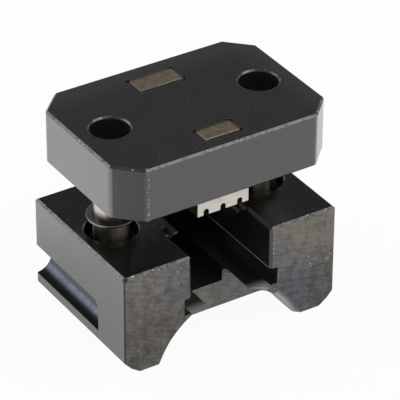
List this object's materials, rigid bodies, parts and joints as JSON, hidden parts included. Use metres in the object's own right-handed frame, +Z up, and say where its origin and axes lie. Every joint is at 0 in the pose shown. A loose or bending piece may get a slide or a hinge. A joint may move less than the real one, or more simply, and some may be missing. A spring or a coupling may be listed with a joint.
{
  "type": "crimping_die",
  "caption": "Crimping die set for eight-way modular plugs: grooved lower die and a punch plate that slides down on guide posts.",
  "frame": {"origin": "middle of the lower die's footprint, on the plane that it stands on", "axes": "+X across the plug channel, +Y from the open front to the back, +Z up through the plate"},
  "size_m": [0.0318, 0.0222, 0.0295],
  "materials": {
    "blackened_die_steel": "black oxide, satin",
    "blackened_plate_steel": "black oxide, fine ground",
    "ground_steel": "ground and polished",
    "dark_ring_steel": "oiled, dark",
    "bright_punch_steel": "bright, wire cut",
    "spring_steel": "oiled, dark"
  },
  "bodies": {
    "lower_half": {"lower_die": "blackened_die_steel", "return_spring_left": "spring_steel", "return_spring_right": "spring_steel"},
    "upper_half": {"upper_plate": "blackened_plate_steel", "guide_post_left": "ground_steel", "guide_post_right": "ground_steel", "post_ring_left": "dark_ring_steel", "post_ring_right": "dark_ring_steel", "strain_relief_punch": "bright_punch_steel", "contact_punch": "bright_punch_steel"}
  },
  "joints": [
    {"name": "close_slide", "type": "slide", "parent": "lower_half", "child": "upper_half", "axis": [0, 0, 1], "range_m": [-0.0071, 0], "stiffness_N_per_m": 300, "springref_m": 0.003, "deforming": ["return_spring_left", "return_spring_right"]}
  ]
}
